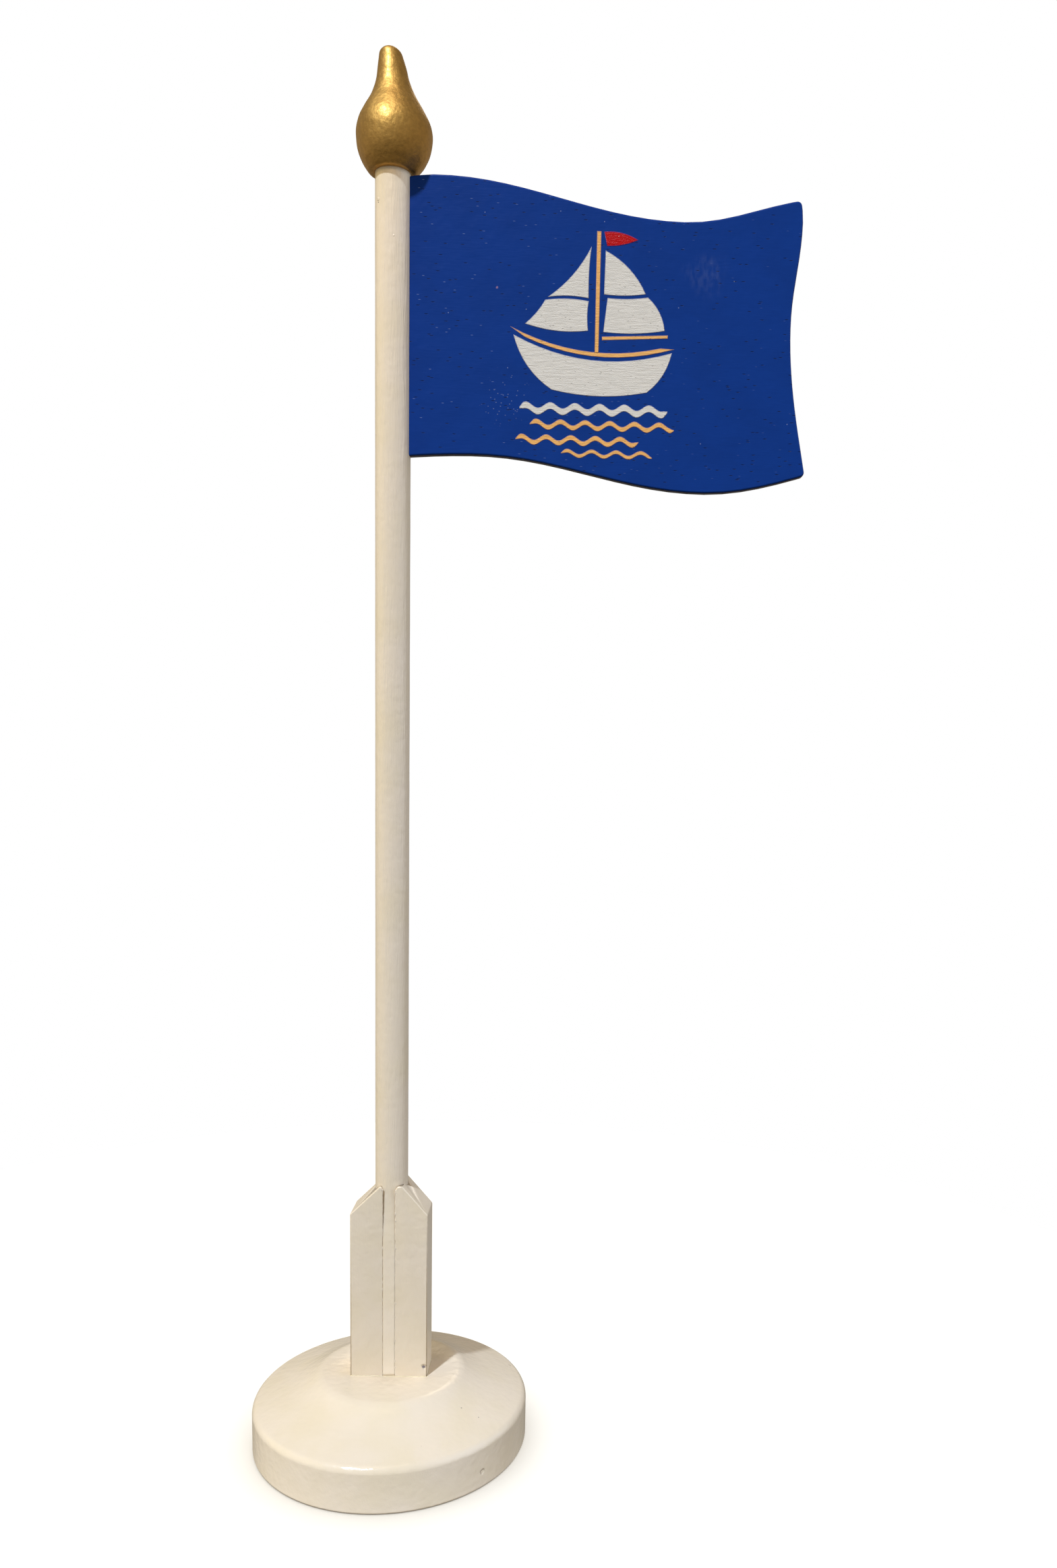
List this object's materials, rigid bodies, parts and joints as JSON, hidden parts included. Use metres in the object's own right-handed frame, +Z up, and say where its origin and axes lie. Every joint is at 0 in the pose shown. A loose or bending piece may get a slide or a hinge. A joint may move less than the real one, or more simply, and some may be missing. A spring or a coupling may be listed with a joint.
{
  "type": "desk flag stand",
  "caption": "Wooden table flag: a waved flag board on a round pole with a turned finial, held by cheeks on a round base.",
  "frame": {"origin": "centre of the base disc's flat underside, on the pole's axis", "axes": "+Z up along the pole, +X from the pole towards the flag's fly edge, -Y towards the viewer of the flag's front face"},
  "size_m": [0.1602, 0.085, 0.4063],
  "materials": {
    "white_paint": "gloss off-white enamel brushed over turned and sawn wood",
    "blue_paint": "satin blue enamel over a thin board, with screen-printed ink",
    "gold_paint": "gold bronze paint over turned wood"
  },
  "bodies": {
    "root": {"base_disc": "white_paint", "pole": "white_paint", "cheek_left": "white_paint", "cheek_right": "white_paint", "flag_board": "blue_paint", "finial": "gold_paint"}
  },
  "joints": []
}
